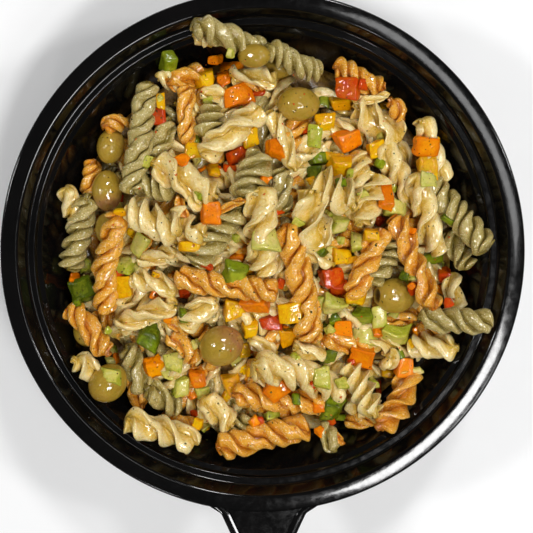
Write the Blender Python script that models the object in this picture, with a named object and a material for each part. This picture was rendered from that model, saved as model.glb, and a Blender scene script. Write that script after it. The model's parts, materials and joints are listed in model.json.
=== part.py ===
"""A pasta salad in its round black bowl.

The bowl is one thin moulded piece: a flat base, a curved wall, a rim with two steps for a lid, and a pull tab.
The salad is a heap of spiral pasta and diced vegetables, and the olives on it are pieces of their own.
Lengths are in millimetres until a mesh is made. +Z is up, and the origin is the middle of the bowl's underside.
"""

from collections import namedtuple
from itertools import product
from math import atan2, cos, pi, radians, sin, tan

import bmesh
import bpy
import numpy as np
from mathutils import Vector

METRES = 0.001

# The bowl
RIM_RADIUS = 114.5
RIM_TOP = 62.0
SHEET = 1.1
SKIRT_DROP = 4.5
FLANGE_INNER = 108.0
GROOVE_FLOOR = 54.8
GROOVE_OUTER = 104.4
GROOVE_INNER = 101.2
LIP_RADIUS = 98.1
LIP_HEIGHT = 51.2
WALL_LEAN = radians(24.0)
BASE_CORNER = 26.0
CORNER_STEPS = 3
BOWL_SIDES = 48

# The pull tab, which reaches out towards -Y
TAB_REACH = 21.5
TAB_HALF_WIDTH = 19.1
TAB_TAPER = 0.435
TAB_CORNER = 5.0
TAB_BORDER = 3.5
TAB_TOP = 61.7
TAB_THICKNESS = 1.5
TAB_RECESS = 0.6

# The heap
GAP = 0.3
FILL_MIDDLE = 62.0
FILL_DROP = 21.0
FILL_RADIUS = 88.0
HEAP_EDGE = 40.0
BELOW = -999.0
CORE_GAP = 0.6
DISH_MARGIN = 1.0
CORE_RINGS = 7
CORE_SECTORS = 30
CORE_DEPTH = 7.0
CORE_SPREAD = 3.0
SEAT_SHARE = 0.3
OLIVE_CLEARING = 3.0
DIE_REACH = 3.0
CONTACT_SHARE = 0.3
NESTING = 3.0
STEEPEST = 0.5
FUSED_NOODLES = 34
SHORTEST_SHARE = 0.5
NOODLE_STEP = 3.8
STEPS_A_TURN = 7
VALLEY_SHARE = 0.42
END_SHARE = 0.72
DIE_STAND = 3.0
DIE_ROOT = 6.0
DIE_TILT = 0.25
OLIVE_SIDES = 9
OLIVE_RINGS = 6
SEED = 5

# The places below are read on the level of the rim, as seen from this point above the bowl.
EYE = (-6.6, 52.8, 538.6)

# The map of the heap's height has a cell for each millimetre.
MAP_REACH = 122

Piece = namedtuple("Piece", "kind x0 y0 x1 y1 width pitch bow rise", defaults=(26, 0, None))
Die = namedtuple("Die", "x y long wide turn", defaults=(0,))

# Pasta spirals and olives, from the bottom of the heap to its top: both ends, width, the length of one
# turn of the spiral, how far the middle bows to the left, and how much the second end rises.
PILE = [
    Piece("plain", -85, 31, -81, 12, 10),
    Piece("tomato", -73, 43, -76, 26, 9, 20),
    Piece("tomato", -69, 57, -58, 60, 9, 24),
    Piece("plain", -46, 79, -35, 74, 8, 24),
    Piece("plain", -84, -44, -73, -51, 12, 30),
    Piece("tomato", -59, -50, -54, -68, 9, 24),
    Piece("plain", -38, 67, -27, 63, 8, 22),
    Piece("plain", -30, 96, -22, 91, 7, 24),
    Piece("plain", 3, 64, 14, 38, 9, 40),
    Piece("plain", -54, -2, -38, 4, 9, 24),
    Piece("tomato", -42, -27, -31, -31, 8, 22),
    Piece("plain", -36, -30, -21, -17, 12, 30),
    Piece("plain", -7, -36, 6, -42, 8, 36),
    Piece("plain", 18, 3, 31, -3, 8, 30),
    Piece("spinach", 8, 39, 8, 19, 10, 24),
    Piece("tomato", 66, -31, 83, -33, 8, 24),
    Piece("tomato", 48, -31, 67, -25, 8, 36),
    Piece("plain", 82, -7, 86, -25, 10, 30),
    Piece("plain", 37, -62, 47, -72, 10, 26),
    Piece("tomato", 36, -73, 50, -72, 8, 24),
    Piece("tomato", -47, -71, -27, -75, 8, 24),
    Piece("spinach", 80, 13, 90, -5, 11, 18),
    Piece("plain", 43, 46, 40, 30, 10, 24),
    Piece("plain", -27, 70, -14, 72, 9, 40),
    Piece("tomato", -9, 77, 1, 73, 7, 30),
    Piece("spinach", -2, -71, -20, -78, 10, 18),
    Piece("plain", 68, 60, 78, 33, 11, 34),
    Piece("olive", 4, 82, 8, 82, 10),
    Piece("olive", -67.8, 15, -67.8, 11, 10.5),
    Piece("olive", -79, -33, -79, -35, 13),
    Piece("spinach", 60, 8, 46, -12, 11, 16),
    Piece("plain", -6, -51, 6, -54, 9, 30),
    Piece("spinach", 26, -73, 32, -87, 9, 34),
    Piece("spinach", -76.5, 28, -84.5, -5, 12.5, 17),
    Piece("tomato", -85, -21, -68, -43, 11, 24, -3),
    Piece("spinach", -60, -38, -53, -59, 11, 32),
    Piece("spinach", -52, -57, -37, -68, 12, 26),
    Piece("plain", -64, -30, -38, -19, 11, 44),
    Piece("plain", -58, -8, -38, -13, 11, 26),
    Piece("tomato", -41, 75, -25, 81, 10, 24),
    Piece("tomato", -33, 75, -33, 49, 8.5, 26),
    Piece("spinach", -26, 52, -21, 66, 12, 16),
    Piece("plain", -14, 79, 5, 77, 10, 44),
    Piece("spinach", -29, 102, 0, 89, 11, 20, 2),
    Piece("spinach", 1, 91, 24, 80, 11, 15, 2),
    Piece("tomato", 30, 83, 52, 72, 11, 20),
    Piece("tomato", 54, 69, 60, 60, 9, 22),
    Piece("plain", -27, -62, -14, -75, 13, 42),
    Piece("tomato", -43, -35, -31, -48, 9, 30, 4),
    Piece("tomato", 25, -35, 46, -40, 10, 30),
    Piece("plain", 50, -63, 50, -75, 7, 34),
    Piece("plain", 45, -39, 68, -44, 9, 36, 3),
    Piece("tomato", -14, -60, 28, -65, 12, 26),
    Piece("tomato", 65, -50, 50, -76, 13, 24, 4),
    Piece("spinach", -10, 23, -31, -2, 14, 18),
    Piece("spinach", -42, 61, -48, 42, 9, 30),
    Piece("spinach", -57, 34, -38, 29, 13, 14),
    Piece("olive", -65.3, 50, -66, 47, 12.5),
    Piece("olive", -67.5, 32, -67.5, 27, 13.5),
    Piece("olive", -6, 87, -2, 87, 10.5),
    Piece("olive", -69.5, -56, -67.5, -54, 16),
    Piece("olive", 56, -16.5, 59, -16.5, 16),
    Piece("spinach", 74, 33, 99, 5, 12, 15, 2),
    Piece("spinach", 68, -25, 102, -29, 12, 22),
    Piece("plain", -61, -71, -29, -82, 14, 32),
    Piece("tomato", -21, -83, 19, -71, 14, 28),
    Piece("spinach", -49, 76, -57, 28, 11, 22, 2),
    Piece("plain", -48, 42, -20, 26, 15, 44),
    Piece("plain", -38, 21, -24, 9, 14, 44, -3),
    Piece("plain", -59, 22, -36, 11, 15, 22),
    Piece("plain", -2, 66, -28, 45, 13, 46),
    Piece("spinach", 0, 45, -9, 26, 15, 18),
    Piece("tomato", -62, 19, -68, -24, 11, 26, -2),
    Piece("plain", 39, 67, 59, 51, 16, 44),
    Piece("olive", 13, 66.5, 17, 66.5, 15),
    Piece("plain", 50, 51, 66, 24, 12, 28),
    Piece("plain", 50, 36, 41, 14, 15, 26),
    Piece("tomato", 53, 13, 41, -18, 11, 34),
    Piece("tomato", 57, 19, 75, -23, 11, 30),
    Piece("plain", 64, -38, 86, -40, 13, 26),
    Piece("plain", 54, -47, 56, -43, 10, 26, 0, 9),
    Piece("plain", 38, -46, 50, -71, 13, 18),
    Piece("olive", -19.5, -39, -17.5, -38, 18),
    Piece("plain", 23, 35, 40, 22, 17, 18),
    Piece("plain", 13, -40, 27, -42, 12, 44),
    Piece("plain", -1, 31, -1, -7, 15, 34),
    Piece("tomato", -39, -8, 6, -15, 12, 28),
    Piece("plain", 20, 30, 26, 4, 17, 40, -2),
    Piece("tomato", 9, 15, 20, -37, 13, 34, 2),
    Piece("plain", -5, -47, 35, -60, 15, 30, 2),
    Piece("plain", 66, 37, 75, 2, 13, 34),
]

# The larger dice of pepper and celery: middle, two sides and a turn in degrees
DICE = [
    Die(-14, 83, 11, 7, -20),
    Die(-11, 70, 11, 9, 8),
    Die(5, 48.5, 8, 11, 0),
    Die(36.5, 51, 12, 9, 20),
    Die(69, 49, 10, 8, 0),
    Die(53, 28, 7, 12, 0),
    Die(-48, -48, 10, 10, 20),
    Die(6, -58, 10, 10, 40),
    Die(44, -43, 11, 8, -10),
    Die(27, 57, 9, 11, 10),
    Die(33, 67, 10, 7, 0),
    Die(-61, -12, 10, 9, 0),
    Die(-13, -23, 9, 9, 0),
    Die(33, 0, 10, 8, 0),
    Die(31, -11, 11, 12, 20),
    Die(-78, -13, 11, 10, 30),
    Die(-49, -32, 9, 12, -25),
    Die(30, -67, 7, 13, -25),
    Die(-54, 6, 8, 9, -15),
    Die(31, -20, 13, 8, 5),
    Die(58, -34, 11, 9, 0),
    Die(22, 49, 8, 12, 0),
]


def material(name, colour, roughness, metallic=0.0):
    """A Principled material of one colour."""
    made = bpy.data.materials.new(name)
    made.use_nodes = True
    shader = made.node_tree.nodes["Principled BSDF"]
    shader.inputs["Base Color"].default_value = (*colour, 1.0)
    shader.inputs["Roughness"].default_value = roughness
    shader.inputs["Metallic"].default_value = metallic
    return made


def mesh_object(name, points, faces, paint=None):
    """An object from points in millimetres, with its faces turned outwards."""
    mesh = bpy.data.meshes.new(name)
    mesh.from_pydata([Vector(p) * METRES for p in points], [], faces)
    work = bmesh.new()
    work.from_mesh(mesh)
    bmesh.ops.recalc_face_normals(work, faces=work.faces[:])
    work.to_mesh(mesh)
    work.free()
    made = bpy.data.objects.new(name, mesh)
    bpy.context.scene.collection.objects.link(made)
    if paint:
        mesh.materials.append(paint)
    return made


def smooth(thing, degrees):
    """Smooth shading, with edges sharper than this kept."""
    thing.data.shade_smooth()
    thing.data.set_sharp_from_angle(angle=radians(degrees))


def boolean(thing, others, operation, solver="EXACT"):
    """Joins or cuts a thing with several others at once, and removes them."""
    group = bpy.data.collections.new("operands")
    for other in others:
        group.objects.link(other)
    step = thing.modifiers.new(operation.lower(), "BOOLEAN")
    step.operation = operation
    step.solver = solver
    step.operand_type = "COLLECTION"
    step.collection = group
    graph = bpy.context.evaluated_depsgraph_get()
    result = bpy.data.meshes.new_from_object(thing.evaluated_get(graph))
    thing.modifiers.clear()
    thing.data = result
    for other in others:
        bpy.data.objects.remove(other)
    bpy.data.collections.remove(group)


def arc(centre, radius, start, end, steps):
    """Points on an arc, angles in degrees."""
    angles = np.radians(np.linspace(start, end, steps + 1))
    return [(centre[0] + radius * cos(a), centre[1] + radius * sin(a)) for a in angles]


def wall_corner(offset):
    """The curve from the base up into the wall, for a surface this far under the inner one."""
    height = SHEET + BASE_CORNER
    tangent_height = height - BASE_CORNER * sin(WALL_LEAN)
    wall_foot = LIP_RADIUS - tan(WALL_LEAN) * (LIP_HEIGHT - tangent_height)
    middle = (wall_foot - BASE_CORNER * cos(WALL_LEAN), height)
    return arc(middle, BASE_CORNER + offset, -90, -np.degrees(WALL_LEAN), CORNER_STEPS)


def inner_profile():
    """The bowl's inner and upper surface, from the middle of the base to the foot of the rim's skirt."""
    points = [(0, SHEET)] + wall_corner(0)
    points += [(LIP_RADIUS, LIP_HEIGHT), (LIP_RADIUS + 0.8, LIP_HEIGHT + 1.3)]
    points += [(GROOVE_INNER - 1.1, GROOVE_FLOOR - 1.9), (GROOVE_INNER - 0.7, GROOVE_FLOOR - 0.4)]
    points += [(GROOVE_INNER, GROOVE_FLOOR), (GROOVE_OUTER - 1.0, GROOVE_FLOOR)]
    points += [(GROOVE_OUTER, GROOVE_FLOOR + 0.9)]
    points += [(FLANGE_INNER - 1.6, RIM_TOP - 0.6), (FLANGE_INNER, RIM_TOP)]
    points += [(RIM_RADIUS - 1.2, RIM_TOP), (RIM_RADIUS, RIM_TOP - 1.2)]
    return points + [(RIM_RADIUS, RIM_TOP - SKIRT_DROP)]


def outer_profile():
    """The bowl's under surface, from the foot of the skirt back to the middle of the base."""
    under = RIM_TOP - SHEET
    points = [(RIM_RADIUS - SHEET, RIM_TOP - SKIRT_DROP), (RIM_RADIUS - SHEET, under - 0.1)]
    points += [(FLANGE_INNER - 0.2, under), (GROOVE_OUTER + 1.2, GROOVE_FLOOR - 0.2)]
    points += [(GROOVE_OUTER + 0.4, GROOVE_FLOOR - SHEET), (GROOVE_INNER + 0.6, GROOVE_FLOOR - SHEET)]
    points += [(GROOVE_INNER - 0.2, LIP_HEIGHT + 0.2), (LIP_RADIUS + SHEET, LIP_HEIGHT - 0.6)]
    points += wall_corner(SHEET)[::-1]
    return points + [(0, 0)]


def turned(name, profile, sides, paint=None):
    """A closed solid turned about Z from a profile that starts and ends on the axis."""
    rings = profile[1:-1]
    points = [(0, 0, profile[0][1])]
    for radius, height in rings:
        for k in range(sides):
            angle = 2 * pi * k / sides
            points.append((radius * cos(angle), radius * sin(angle), height))
    points.append((0, 0, profile[-1][1]))
    last = len(points) - 1
    faces = [(0, 1 + k, 1 + (k + 1) % sides) for k in range(sides)]
    for ring in range(len(rings) - 1):
        low = 1 + ring * sides
        high = low + sides
        for k in range(sides):
            after = (k + 1) % sides
            faces.append((low + k, high + k, high + after, low + after))
    low = 1 + (len(rings) - 1) * sides
    faces += [(last, low + (k + 1) % sides, low + k) for k in range(sides)]
    return mesh_object(name, points, faces, paint)


def tab():
    """The pull tab: a tapered plate with round corners and a shallow panel inside its border."""
    inner_edge = RIM_RADIUS - 3.0
    outer_edge = RIM_RADIUS + TAB_REACH
    end_half = TAB_HALF_WIDTH - TAB_TAPER * TAB_REACH
    side = np.degrees(atan2(1.0, TAB_TAPER))
    corner_x = end_half - TAB_CORNER * tan(radians(side) / 2)
    right = [(TAB_HALF_WIDTH + TAB_TAPER * 3.0, -inner_edge)]
    right += arc((corner_x, -outer_edge + TAB_CORNER), TAB_CORNER, side - 90, -90, 4)
    outline = right + [(-x, y) for x, y in reversed(right)]
    points = [(x, y, TAB_TOP - TAB_THICKNESS) for x, y in outline]
    plate = bmesh.new()
    low = plate.faces.new([plate.verts.new(Vector(p) * METRES) for p in points])
    grown = bmesh.ops.extrude_face_region(plate, geom=[low])
    lifted = [v for v in grown["geom"] if isinstance(v, bmesh.types.BMVert)]
    bmesh.ops.translate(plate, verts=lifted, vec=(0, 0, TAB_THICKNESS * METRES))
    bmesh.ops.recalc_face_normals(plate, faces=plate.faces[:])
    top = max(plate.faces, key=lambda f: f.calc_center_median().z)
    bmesh.ops.inset_region(plate, faces=[top], thickness=TAB_BORDER * METRES)
    bmesh.ops.inset_region(plate, faces=[top], thickness=TAB_RECESS * METRES, depth=-TAB_RECESS * METRES)
    mesh = bpy.data.meshes.new("tab")
    plate.to_mesh(mesh)
    plate.free()
    made = bpy.data.objects.new("tab", mesh)
    bpy.context.scene.collection.objects.link(made)
    return made


def bowl(paint):
    """The bowl with its pull tab, one moulded piece."""
    made = turned("bowl", inner_profile() + outer_profile(), BOWL_SIDES, paint)
    boolean(made, [tab()], "UNION")
    smooth(made, 30)
    return made


class HeapMap:
    """The height of the heap over each square millimetre of the bowl."""

    def __init__(self):
        line = np.arange(-MAP_REACH, MAP_REACH + 1.0)
        self.x, self.y = np.meshgrid(line, line, indexing="ij")
        radius = np.hypot(self.x, self.y)
        profile = np.array(inner_profile()[:-1])
        dish = np.interp(radius + DISH_MARGIN, profile[:, 0], profile[:, 1])
        fill = FILL_MIDDLE - FILL_DROP * (radius / FILL_RADIUS) ** 2
        self.firm = np.where(radius > RIM_RADIUS, BELOW, dish)
        self.top = np.where(radius < FILL_RADIUS, fill, BELOW)
        self.owner = np.full(self.top.shape, -1)

    def ball(self, place, reach):
        """The cells under a ball, and how far its surface is above its middle there."""
        i = int(round(place[0])) + MAP_REACH
        j = int(round(place[1])) + MAP_REACH
        span = int(reach) + 2
        cells = (slice(max(i - span, 0), i + span + 1), slice(max(j - span, 0), j + span + 1))
        apart = (self.x[cells] - place[0]) ** 2 + (self.y[cells] - place[1]) ** 2
        return cells, np.where(apart < reach**2, np.sqrt(np.maximum(reach**2 - apart, 0)), BELOW)

    def needed(self, place, piece):
        """The lowest height for the middle of a piece here: clear of dish and olives, and nested in the pasta."""
        cells, rise = self.ball(place, piece.width / 2 + GAP)
        clear = np.max(self.firm[cells] + rise) + GAP
        cells, rise = self.ball(place, piece.width * CONTACT_SHARE)
        return max(clear, np.max(self.top[cells] + rise) - NESTING)

    def cover(self, place, height, piece, index):
        """Adds a ball of the piece to the heap."""
        if piece.kind == "olive":
            cells, rise = self.ball(place, piece.width / 2)
            self.firm[cells] = np.maximum(self.firm[cells], height + rise)
        cells, rise = self.ball(place, piece.width * CONTACT_SHARE)
        shows = height + rise > self.top[cells]
        self.top[cells] = np.where(shows, height + rise, self.top[cells])
        self.owner[cells] = np.where(shows, index, self.owner[cells])

    def level(self, x, y):
        """The mean height of the heap round a place."""
        cells, rise = self.ball((x, y), DIE_REACH)
        return float(np.mean(self.top[cells][rise > BELOW]))


def under_eye(x, y, height):
    """The place at this height that is seen where (x, y) is on the level of the rim."""
    share = (EYE[2] - height) / (EYE[2] - RIM_TOP)
    return np.array([EYE[0] + (x - EYE[0]) * share, EYE[1] + (y - EYE[1]) * share])


def bowed(first, last, bow, count):
    """Points from first to last, with the middle pushed to the left of the way by bow."""
    along = np.linspace(0, 1, count)[:, None]
    way = last - first
    left = np.array([-way[1], way[0]]) / max(np.hypot(*way), 1e-6)
    return first + way * along + left * bow * 4 * along * (1 - along)


def resting_line(needed, rise, length):
    """The heights of both ends of the lowest straight line over these heights."""
    along = np.linspace(0, 1, len(needed))
    if rise is not None:
        foot = np.max(needed - rise * along)
        return np.array([foot, foot + rise])
    steepest = STEEPEST * length
    lines = []
    for i in range(len(needed)):
        for j in range(i + 1, len(needed)):
            slope = (needed[j] - needed[i]) / (along[j] - along[i])
            slope = max(-steepest, min(steepest, slope))
            foot = np.max(needed - slope * along)
            lines.append((foot + slope / 2, foot, slope))
    _, foot, slope = min(lines)
    return np.array([foot, foot + slope])


def drop(heap, piece, index):
    """Lets a piece down onto the heap. Gives the points of its middle line."""
    ends = np.array([FILL_MIDDLE, FILL_MIDDLE])
    for _ in range(3):
        first = under_eye(piece.x0, piece.y0, ends[0])
        last = under_eye(piece.x1, piece.y1, ends[1])
        route = bowed(first, last, piece.bow, 9)
        needed = np.array([heap.needed(place, piece) for place in route])
        ends = resting_line(needed, piece.rise, np.hypot(*(last - first)))
    count = max(9, int(np.hypot(*(last - first)) / 1.5))
    route = bowed(first, last, piece.bow, count)
    heights = np.linspace(ends[0], ends[1], count)
    for place, height in zip(route, heights):
        heap.cover(place, height, piece, index)
    return np.column_stack([route, heights])


def along_line(line, share):
    """The point at this share of a line of points."""
    at = max(share, 0.0) * (len(line) - 1)
    low = min(int(at), len(line) - 2)
    return line[low] + (line[low + 1] - line[low]) * (at - low)


def fins(radius):
    """A spiral's cross-section: three fins, and the valleys between them."""
    points = []
    for fin in range(3):
        middle = 2 * pi * fin / 3
        points += [(radius, middle), (radius * VALLEY_SHARE, middle + pi / 3)]
    return points


def noodle(piece, line):
    """A spiral of pasta: its section turns to the right as it goes along its middle line."""
    length = float(np.sum(np.linalg.norm(np.diff(line, axis=0), axis=1)))
    step = min(NOODLE_STEP, piece.pitch / STEPS_A_TURN)
    rings = max(4, int(round(length / step)) + 1)
    outline = fins(piece.width / 2)
    count = len(outline)
    points = []
    for ring in range(rings):
        share = ring / (rings - 1)
        at = along_line(line, share)
        ahead = along_line(line, min(share + 0.05, 1)) - along_line(line, share - 0.05)
        across = np.cross(ahead, (0, 0, 1))
        across = across / np.linalg.norm(across)
        upward = np.cross(across, ahead / np.linalg.norm(ahead))
        turn = 2 * pi * share * length / piece.pitch
        size = END_SHARE if ring in (0, rings - 1) else 1.0
        for radius, angle in outline:
            spoke = across * cos(angle - turn) + upward * sin(angle - turn)
            points.append(at + spoke * radius * size)
    faces = []
    for ring in range(rings - 1):
        for k in range(count):
            low = ring * count + k
            beside = ring * count + (k + 1) % count
            square = (low, beside, beside + count, low + count)
            first_way = np.linalg.norm(points[square[0]] - points[square[2]])
            other_way = np.linalg.norm(points[square[1]] - points[square[3]])
            turned_square = square if first_way < other_way else square[1:] + square[:1]
            a, b, c, d = turned_square
            faces += [(a, b, c), (a, c, d)]
    for start, share in ((0, 0), ((rings - 1) * count, 1)):
        points.append(along_line(line, share))
        faces += [(start + k, start + (k + 1) % count, len(points) - 1) for k in range(count)]
    return mesh_object("noodle", points, faces)


def olive(name, piece, line, extra, paint=None):
    """An olive along its middle line, this much larger all round."""
    way = line[-1] - line[0]
    half_long = piece.width / 2 + np.linalg.norm(way) / 2 + extra
    half_wide = piece.width / 2 + extra
    shape = bmesh.new()
    bmesh.ops.create_uvsphere(shape, u_segments=OLIVE_SIDES, v_segments=OLIVE_RINGS, radius=METRES)
    bmesh.ops.scale(shape, verts=shape.verts[:], vec=(half_wide, half_wide, half_long))
    mesh = bpy.data.meshes.new(name)
    shape.to_mesh(mesh)
    shape.free()
    made = bpy.data.objects.new(name, mesh)
    bpy.context.scene.collection.objects.link(made)
    made.location = Vector((line[0] + line[-1]) / 2) * METRES
    made.rotation_mode = "QUATERNION"
    made.rotation_quaternion = Vector(way).to_track_quat("Z", "Y")
    if paint:
        mesh.materials.append(paint)
        smooth(made, 60)
    return made


def die_place(row, heap):
    """Where a die lies, and the height of the heap there."""
    height = heap.level(*under_eye(row.x, row.y, FILL_MIDDLE))
    return under_eye(row.x, row.y, height), height


def die(row, place, height, draw):
    """A die of vegetable, rooted in the heap and a little tilted."""
    points = []
    for x, y, z in product((-1, 1), (-1, 1), (-DIE_ROOT, DIE_STAND)):
        points.append((x * row.long / 2, y * row.wide / 2, z))
    faces = [(0, 1, 3, 2), (4, 6, 7, 5), (0, 4, 5, 1), (2, 3, 7, 6), (0, 2, 6, 4), (1, 5, 7, 3)]
    made = mesh_object("die", points, faces)
    made.location = Vector((*place, height)) * METRES
    tilt = draw.uniform(-DIE_TILT, DIE_TILT, 2)
    made.rotation_euler = (*tilt, radians(row.turn))
    return made


def core_levels(heap, noodles, olives):
    """How high the core is at each place: a little under the fill, or up to the pieces that lie there."""
    seat = np.full(heap.top.shape, 0.0)
    count = np.full(heap.top.shape, 0.0)
    for piece, line in noodles:
        for x, y, z in line:
            cells, rise = heap.ball((x, y), piece.width * 0.4 + CORE_SPREAD)
            covered = rise > BELOW
            seat[cells] += covered * (z - piece.width * SEAT_SHARE)
            count[cells] += covered
    radius = np.hypot(heap.x, heap.y)
    fill = FILL_MIDDLE - FILL_DROP * (radius / FILL_RADIUS) ** 2 - CORE_DEPTH
    levels = np.where(count > 0, seat / np.maximum(count, 1), fill)
    for piece, line in olives:
        for x, y, z in line:
            cells, rise = heap.ball((x, y), piece.width / 2 + OLIVE_CLEARING)
            levels[cells] = np.where(rise > BELOW, np.minimum(levels[cells], z), levels[cells])
    return levels


def core(levels):
    """The body of the salad, which fills the bowl up to the pieces that show."""
    bottom = HEAP_EDGE - CORE_DEPTH
    edge = LIP_RADIUS - tan(WALL_LEAN) * (LIP_HEIGHT - bottom + 1) - CORE_GAP
    turns = [2 * pi * k / CORE_SECTORS for k in range(CORE_SECTORS)]

    def level(x, y):
        return max(bottom, levels[int(round(x)) + MAP_REACH, int(round(y)) + MAP_REACH])

    rings = []
    for radius in np.linspace(0, edge, CORE_RINGS + 1)[1:]:
        ring = [(radius * cos(turn), radius * sin(turn)) for turn in turns]
        rings.append([(x, y, level(x, y)) for x, y in ring])
    rings.append([(edge * cos(turn), edge * sin(turn), bottom - 1) for turn in turns])
    for radius, height in reversed(wall_corner(-CORE_GAP)):
        rings.append([(radius * cos(turn), radius * sin(turn), height) for turn in turns])
    points = [(0, 0, level(0, 0))]
    points += [point for ring in rings for point in ring]
    points.append((0, 0, SHEET + CORE_GAP))
    last = len(points) - 1
    faces = []
    for k in range(CORE_SECTORS):
        after = (k + 1) % CORE_SECTORS
        low = last - CORE_SECTORS
        faces.append((0, 1 + k, 1 + after))
        faces.append((last, low + after, low + k))
        for ring in range(len(rings) - 1):
            a = 1 + ring * CORE_SECTORS
            b = a + CORE_SECTORS
            faces.append((a + k, b + k, b + after))
            faces.append((a + k, b + after, a + after))
    return mesh_object("pasta_salad", points, faces)


def keep_largest_body(thing):
    """Fills hollows that were sealed and drops loose scraps, by keeping the largest shell only."""
    work = bmesh.new()
    work.from_mesh(thing.data)
    left = set(work.verts)
    shells = []
    while left:
        shell = set()
        front = [left.pop()]
        while front:
            corner = front.pop()
            shell.add(corner)
            for edge in corner.link_edges:
                other = edge.other_vert(corner)
                if other in left:
                    left.remove(other)
                    front.append(other)
        shells.append(shell)
    largest = max(shells, key=len)
    for shell in shells:
        if shell is not largest:
            bmesh.ops.delete(work, geom=list(shell), context="VERTS")
    work.to_mesh(thing.data)
    work.free()


def apart(point, line):
    """How far a point is from a straight line of points."""
    way = line[-1] - line[0]
    share = np.clip(np.dot(point - line[0], way) / np.dot(way, way), 0, 1)
    return np.linalg.norm(point - line[0] - way * share)


def clear_stretch(line, radius, olives):
    """The longest stretch of a middle line on which a piece of this radius clears every olive."""
    clear = [all(apart(p, way) > radius + o.width / 2 + GAP for o, way in olives) for p in line]
    best = []
    stretch = []
    for point, free in zip(line, clear):
        stretch = stretch + [point] if free else []
        best = max(best, stretch, key=len)
    return np.array(best)


def pasta_salad(heap, lines, paint):
    """The heap: its core with room for the olives, and on it the pasta and dice that show most."""
    draw = np.random.default_rng(SEED)
    olives = [(piece, line) for piece, line in zip(PILE, lines) if piece.kind == "olive"]
    shown = np.bincount(heap.owner[heap.owner >= 0], minlength=len(PILE))
    noodles = []
    for k in sorted(range(len(PILE)), key=lambda k: -shown[k]):
        stretch = clear_stretch(lines[k], PILE[k].width / 2, olives)
        if len(stretch) > SHORTEST_SHARE * len(lines[k]) and len(noodles) < FUSED_NOODLES:
            noodles.append((PILE[k], stretch))
    made = core(core_levels(heap, noodles, olives))
    boolean(made, [olive("pocket", piece, line, GAP + 0.1) for piece, line in olives], "DIFFERENCE")
    pieces = [noodle(piece, line) for piece, line in noodles]
    for row in DICE:
        place, height = die_place(row, heap)
        reach = np.hypot(row.long, row.wide) / 2
        if len(clear_stretch([np.array([*place, height])], reach, olives)):
            pieces.append(die(row, place, height, draw))
    boolean(made, pieces, "UNION", "MANIFOLD")
    keep_largest_body(made)
    made.data.materials.clear()
    made.data.materials.append(paint)
    smooth(made, 40)
    return made


def main():
    for thing in list(bpy.data.objects):
        bpy.data.objects.remove(thing)
    black = material("black_plastic", (0.012, 0.012, 0.014), 0.25)
    pasta = material("dressed_pasta", (0.76, 0.52, 0.25), 0.4)
    green = material("green_olive", (0.45, 0.34, 0.09), 0.3)
    heap = HeapMap()
    lines = [drop(heap, piece, index) for index, piece in enumerate(PILE)]
    bowl(black)
    pasta_salad(heap, lines, pasta)
    number = 0
    for piece, line in zip(PILE, lines):
        if piece.kind == "olive":
            number += 1
            olive(f"olive_{number}", piece, line, 0, green)


main()
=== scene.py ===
"""The looks of a pasta salad in its round black bowl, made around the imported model.

Lengths are in millimetres until a mesh is made. +Z is up, and the origin is the middle of the bowl's
underside. The pasta is dropped on the heap by the model's rule, and from nearly the same list.
"""

import json
from collections import namedtuple
from itertools import combinations, product
from math import atan2, cos, hypot, pi, radians, sin, tan

import bpy
import numpy as np
from mathutils import Matrix, Vector
from mathutils.bvhtree import BVHTree

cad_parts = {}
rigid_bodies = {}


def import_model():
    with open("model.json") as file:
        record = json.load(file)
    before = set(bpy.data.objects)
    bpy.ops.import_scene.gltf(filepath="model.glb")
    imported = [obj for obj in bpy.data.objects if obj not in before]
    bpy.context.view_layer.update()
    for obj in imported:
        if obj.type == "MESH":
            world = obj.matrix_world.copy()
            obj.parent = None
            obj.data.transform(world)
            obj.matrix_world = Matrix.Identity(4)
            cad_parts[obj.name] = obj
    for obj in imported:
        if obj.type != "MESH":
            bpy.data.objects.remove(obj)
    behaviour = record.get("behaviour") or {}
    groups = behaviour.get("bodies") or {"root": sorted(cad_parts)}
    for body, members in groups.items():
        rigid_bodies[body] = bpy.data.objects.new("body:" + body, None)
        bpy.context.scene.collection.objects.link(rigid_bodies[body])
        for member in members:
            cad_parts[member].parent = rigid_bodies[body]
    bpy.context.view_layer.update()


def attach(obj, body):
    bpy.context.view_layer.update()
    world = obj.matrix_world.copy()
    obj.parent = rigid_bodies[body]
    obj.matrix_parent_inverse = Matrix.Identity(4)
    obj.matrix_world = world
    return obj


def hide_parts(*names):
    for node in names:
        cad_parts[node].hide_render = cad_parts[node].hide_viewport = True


METRES = 0.001
SEED = 11

# The bowl
RIM_RADIUS = 114.5
RIM_TOP = 62.0
SHEET = 1.1
SKIRT_DROP = 4.5
FLANGE_INNER = 107.0
GROOVE_FLOOR = 54.8
LIP_RADIUS = 98.1
LIP_HEIGHT = 51.2
WALL_LEAN = radians(24.0)
WALL_GAP = 0.25
BASE_CORNER = 26.0
BOWL_SIDES = 256

# The pull tab, which reaches out towards -Y
TAB_REACH = 21.5
TAB_HALF_WIDTH = 19.1
TAB_TAPER = 0.435
TAB_CORNER = 5.0
TAB_BORDER = 3.5
TAB_TOP = 61.7
TAB_THICKNESS = 1.5
TAB_RECESS = 0.7

# The rule by which pieces drop on the heap
GAP = 0.3
FILL_MIDDLE = 62.0
FILL_DROP = 21.0
FILL_RADIUS = 88.0
BELOW = -999.0
SKY = 120
DISH_MARGIN = 1.0
CONTACT_SHARE = 0.3
NESTING = 3.0
STEEPEST = 0.5
MAP_REACH = 122
FEWEST_STOPS = 9
STOP_GAP = 1.5

# The places of the pieces are read on the level of the rim, as seen from this point.
EYE = (-6.6, 52.8, 538.6)

# The photograph's camera
CAMERA_PLACE = (-6.65, 52.78, 538.62)
CAMERA_BACK = (-0.0165, 0.1173, 0.993)
CAMERA_LENS = 74.36

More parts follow.
